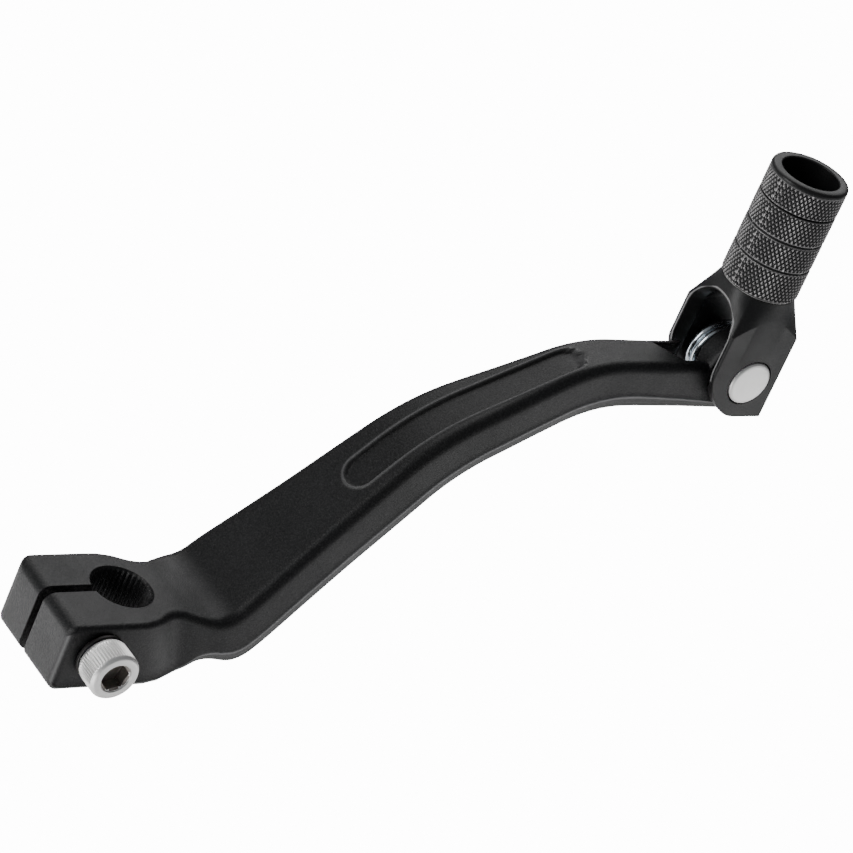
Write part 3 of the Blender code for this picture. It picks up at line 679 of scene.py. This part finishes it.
def black_coat():
    made, tree, shader = material("black_coat")
    vector = coords(tree)
    grain = noise(tree, vector, 3600.0, 2.0, 0.6)
    fine = noise(tree, vector, 9000.0, 1.0)
    broad = noise(tree, vector, 90.0, 3.0)
    tree.links.new(span(tree, broad, 0.3, 0.7, 0.34, 0.44), shader.inputs["Roughness"])
    speckle = span(tree, grain, 0.45, 0.72, 0.0, 1.0)
    colour = mix_colour(tree, speckle, (0.004, 0.004, 0.0044), (0.022, 0.022, 0.023))
    # Painted highlight: the per-point attribute lightens the coat along the panel lip, the parting ridge and
    # the end face's near edge
    painted_highlight = node(tree, "ShaderNodeAttribute", attribute_name="highlight_paint").outputs["Fac"]
    tree.links.new(mix_colour(tree, painted_highlight, colour, (0.42, 0.42, 0.425)), shader.inputs["Base Color"])
    shader.inputs["Specular IOR Level"].default_value = 0.32
    tree.links.new(bump(tree, [(grain, 0.6, 0.00012), (fine, 0.4, 0.00004)], 0.0002), shader.inputs["Normal"])
    return made


def maths(tree, operation, a, b=0.0):
    made = tree.nodes.new("ShaderNodeMath")
    made.operation = operation
    for index, value in enumerate((a, b)):
        if isinstance(value, float):
            made.inputs[index].default_value = value
        else:
            tree.links.new(value, made.inputs[index])
    return made.outputs[0]


def slot_rim_highlight(tree):
    """1 on the painted highlight round the mouth of the fork's slot, 0 elsewhere."""
    place = tree.nodes.new("ShaderNodeSeparateXYZ")
    tree.links.new(coords(tree), place.inputs[0])
    across = tree.nodes.new("ShaderNodeCombineXYZ")
    tree.links.new(place.outputs["Y"], across.inputs["X"])
    springing = (SLOT_TOP - SLOT_HALF) * MM
    rise = maths(tree, "MAXIMUM", maths(tree, "SUBTRACT", place.outputs["Z"], springing))
    tree.links.new(rise, across.inputs["Y"])
    reach = tree.nodes.new("ShaderNodeVectorMath")
    reach.operation = "LENGTH"
    tree.links.new(across.outputs[0], reach.inputs[0])
    middle = (SLOT_HALF + FLARE + 0.15) * MM
    away = maths(tree, "ABSOLUTE", maths(tree, "SUBTRACT", reach.outputs["Value"], middle))
    front = maths(tree, "LESS_THAN", place.outputs["X"], (PEG_X - FORK_HALF_X + 0.6) * MM)
    return maths(tree, "MULTIPLY", span(tree, away, 0.00005, 0.00025, 1.0, 0.0), front)


def black_anodised():
    made, tree, shader = material("black_anodised")
    vector = coords(tree)
    grain = noise(tree, vector, 5200.0, 2.0)
    broad = noise(tree, vector, 160.0, 3.0)
    turned_lines = noise(tree, coords(tree, (40.0, 40.0, 5000.0)), 1.0, 2.0)
    tree.links.new(span(tree, broad, 0.3, 0.7, 0.3, 0.42), shader.inputs["Roughness"])
    shader.inputs["Specular IOR Level"].default_value = 0.32
    colour = mix_colour(tree, broad, (0.008, 0.008, 0.0085), (0.014, 0.014, 0.0145))
    # The mouth of the slot gets a painted highlight, a thin lighter grey rim
    tree.links.new(mix_colour(tree, slot_rim_highlight(tree), colour, (0.28, 0.28, 0.28)), shader.inputs["Base Color"])
    tree.links.new(bump(tree, [(grain, 0.25, 0.00004), (turned_lines, 0.15, 0.00003)], 0.00015),
                   shader.inputs["Normal"])
    return made


def knurled_black():
    made, tree, shader = material("knurled_black")
    vector = coords(tree)
    grain = noise(tree, vector, 6000.0, 2.0)
    wear = noise(tree, vector, 700.0, 3.0)
    peak = node(tree, "ShaderNodeNewGeometry").outputs["Pointiness"]
    # Painted light on the knurl: its points are lighter, as wear and painted sheen, and its grooves darker, as
    # painted shade
    wear_sheen_and_groove_shade = span(tree, peak, 0.48, 0.6, 0.0, 1.0)
    colour = mix_colour(tree, wear_sheen_and_groove_shade, (0.015, 0.015, 0.016), (0.42, 0.41, 0.41))
    tree.links.new(colour, shader.inputs["Base Color"])
    tree.links.new(span(tree, wear, 0.3, 0.7, 0.34, 0.46), shader.inputs["Roughness"])
    shader.inputs["Metallic"].default_value = 0.8
    tree.links.new(bump(tree, [(grain, 0.2, 0.00003)]), shader.inputs["Normal"])
    return made


def bright_steel(name, dull, bright):
    made, tree, shader = material(name)
    vector = coords(tree)
    grain = noise(tree, vector, 2500.0, 3.0)
    broad = noise(tree, vector, 420.0, 3.0)
    scratches = noise(tree, coords(tree, (9000.0, 300.0, 300.0)), 1.0, 2.0)
    colour = mix_colour(tree, broad, dull, bright)
    tree.links.new(colour, shader.inputs["Base Color"])
    tree.links.new(span(tree, grain, 0.3, 0.7, 0.3, 0.42), shader.inputs["Roughness"])
    shader.inputs["Metallic"].default_value = 0.8
    tree.links.new(bump(tree, [(scratches, 0.05, 0.00002), (grain, 0.05, 0.00002)], 0.0001),
                   shader.inputs["Normal"])
    return made


def zinc_wire():
    made, tree, shader = material("zinc_wire")
    vector = coords(tree)
    broad = noise(tree, vector, 500.0, 3.0)
    drawn = noise(tree, vector, 4200.0, 2.0)
    colour = mix_colour(tree, broad, (0.55, 0.62, 0.68), (0.8, 0.84, 0.87))
    tree.links.new(colour, shader.inputs["Base Color"])
    tree.links.new(span(tree, drawn, 0.3, 0.7, 0.14, 0.28), shader.inputs["Roughness"])
    shader.inputs["Metallic"].default_value = 1.0
    tree.links.new(bump(tree, [(drawn, 0.1, 0.00002)]), shader.inputs["Normal"])
    return made


def black_oxide():
    made, tree, shader = material("black_oxide")
    vector = coords(tree)
    grain = noise(tree, vector, 3000.0, 3.0)
    colour = mix_colour(tree, grain, (0.02, 0.02, 0.021), (0.06, 0.057, 0.055))
    tree.links.new(colour, shader.inputs["Base Color"])
    tree.links.new(span(tree, grain, 0.3, 0.7, 0.35, 0.55), shader.inputs["Roughness"])
    shader.inputs["Metallic"].default_value = 0.8
    tree.links.new(bump(tree, [(grain, 0.2, 0.00003)], 0.00015), shader.inputs["Normal"])
    return made


def pale_floor():
    made, tree, shader = material("pale_floor")
    broad = noise(tree, coords(tree), 3.0, 2.0)
    tree.links.new(mix_colour(tree, broad, (0.9, 0.9, 0.9), (0.93, 0.93, 0.93)), shader.inputs["Base Color"])
    shader.inputs["Roughness"].default_value = 0.85
    shader.inputs["Emission Color"].default_value = (1.0, 1.0, 1.0, 1.0)
    shader.inputs["Emission Strength"].default_value = FILL
    glow = node(tree, "ShaderNodeEmission", Strength=GLOW)
    seen = tree.nodes.new("ShaderNodeMixShader")
    tree.links.new(tree.nodes.new("ShaderNodeLightPath").outputs["Is Camera Ray"], seen.inputs[0])
    tree.links.new(shader.outputs[0], seen.inputs[1])
    tree.links.new(glow.outputs[0], seen.inputs[2])
    tree.links.new(seen.outputs[0], tree.nodes["Material Output"].inputs["Surface"])
    return made


# ---------------------------------------------------------------- stage

# Each light's name, place, size and power, in metres and watts
FLOOR_Z, FLOOR_LIGHT_Z = -0.16, -0.03
MIDDLE = (0.055, 0.0, 0.025)
LIGHTS = (("overhead", (0.19, 0.95, 1.15), (1.4, 0.8), 6.8),
          ("left", (-1.1, 0.15, 0.4), (0.4, 0.7), 7.0),
          ("front", (0.9, -1.0, 0.0), (0.7, 0.25), 0.6),
          ("far", (0.95, 0.95, 0.75), (0.8, 0.6), 2.6))
FLOOR_LIGHTS = (("floor_left", (-0.2, 0.26), (0.3, 0.3), 1.0),
                ("floor_right", (0.46, -0.3), (0.4, 0.4), 0.9),
                ("floor_near", (-0.28, -0.15), (0.25, 0.3), 1.1))


def place_camera():
    data = bpy.data.cameras.new("camera")
    data.lens = 179.24
    data.sensor_width = 36.0
    data.clip_end = 20.0
    camera = bpy.data.objects.new("camera", data)
    bpy.context.scene.collection.objects.link(camera)
    right, down = (0.7861, -0.50144, 0.3614), (-0.00818, -0.59308, -0.8051)
    ahead = (0.61805, 0.62993, -0.47032)
    turn = Matrix([[right[i], -down[i], -ahead[i]] for i in range(3)]).to_4x4()
    camera.matrix_world = Matrix.Translation(Vector((-0.43898, -0.50321, 0.41177))) @ turn
    bpy.context.scene.camera = camera


def panel_light(name, location, size, power, target):
    data = bpy.data.lights.new(name, "AREA")
    data.shape = "RECTANGLE"
    data.size, data.size_y = size
    data.energy = power
    lamp = bpy.data.objects.new(name, data)
    bpy.context.scene.collection.objects.link(lamp)
    lamp.location = location
    lamp.rotation_euler = (Vector(target) - Vector(location)).to_track_quat("-Z", "Y").to_euler()
    lamp.visible_camera = False


def make_stage():
    bm = bmesh.new()
    bmesh.ops.create_grid(bm, x_segments=8, y_segments=8, size=3.0)
    floor = from_bmesh("floor", bm)
    floor.location = (0.05, 0.0, FLOOR_Z)
    floor.data.materials.append(pale_floor())
    world = bpy.data.worlds.new("studio")
    bpy.context.scene.world = world
    world.use_nodes = True
    back = world.node_tree.nodes["Background"]
    back.inputs["Color"].default_value = (0.95, 0.97, 1.0, 1.0)
    tree = world.node_tree
    seen = span(tree, tree.nodes.new("ShaderNodeLightPath").outputs["Is Camera Ray"], 0.0, 1.0, FILL, GLOW)
    tree.links.new(seen, back.inputs["Strength"])
    for name, place, size, power in LIGHTS:
        panel_light(name, place, size, power, MIDDLE)
    for name, place, size, power in FLOOR_LIGHTS:
        panel_light(name, (*place, FLOOR_LIGHT_Z), size, power, (*place, FLOOR_Z))


# ---------------------------------------------------------------- assembly

def finish_piece(piece, body, slot_name, finish, *stands_for):
    piece.data.materials.clear()
    piece.data.materials.append(finish)
    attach(piece, body)
    if stands_for:
        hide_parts(*stands_for)
    return piece


def paint_faces(piece, finish, wanted):
    """Gives a second material to the faces whose middles, in millimetres, are wanted."""
    piece.data.materials.append(finish)
    for face in piece.data.polygons:
        face.material_index = int(wanted(*(c / MM for c in face.center)))


def on_plain_ring(x, y, z):
    """The grip's plain ring at its mouth, and its hollow."""
    return z > 94.5 or math.hypot(x - PEG_X, y) < 7.0


def in_socket(x, y, z):
    """The walls and floor of the bolt's socket, which take the darker steel as painted shade."""
    return math.hypot(x - BOLT_X, z - BOLT_Z) < 2.85 and SEAT_Y - 7.05 < y < SEAT_Y - 3.0


place_camera()
make_stage()
coat, anodised, grip = black_coat(), black_anodised(), knurled_black()
zinc, oxide = zinc_wire(), black_oxide()
steel = bright_steel("bright_steel", (0.8, 0.79, 0.77), (0.92, 0.91, 0.9))
# Darker steel for the socket's walls and floor: painted shade in the recess
socket_shade_steel = bright_steel("socket_shade_steel", (0.2, 0.18, 0.165), (0.3, 0.28, 0.26))
finish_piece(make_arm(), "lever", "arm", coat, "arm")
finish_piece(make_fork(), "tip", "toe_peg", anodised, "toe_peg")
sleeve = finish_piece(make_grip(), "tip", "toe_peg", grip)
paint_faces(sleeve, anodised, on_plain_ring)
bolt = finish_piece(make_bolt(), "lever", "pinch_bolt", steel, "pinch_bolt")
paint_faces(bolt, socket_shade_steel, in_socket)
finish_piece(make_washer(), "lever", "lock_washer", oxide, "lock_washer")
finish_piece(make_rivet(), "lever", "pivot_rivet", steel, "pivot_rivet")
spring = make_spring()
spring.data.materials.append(zinc)
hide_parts("return_spring")
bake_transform(spring)
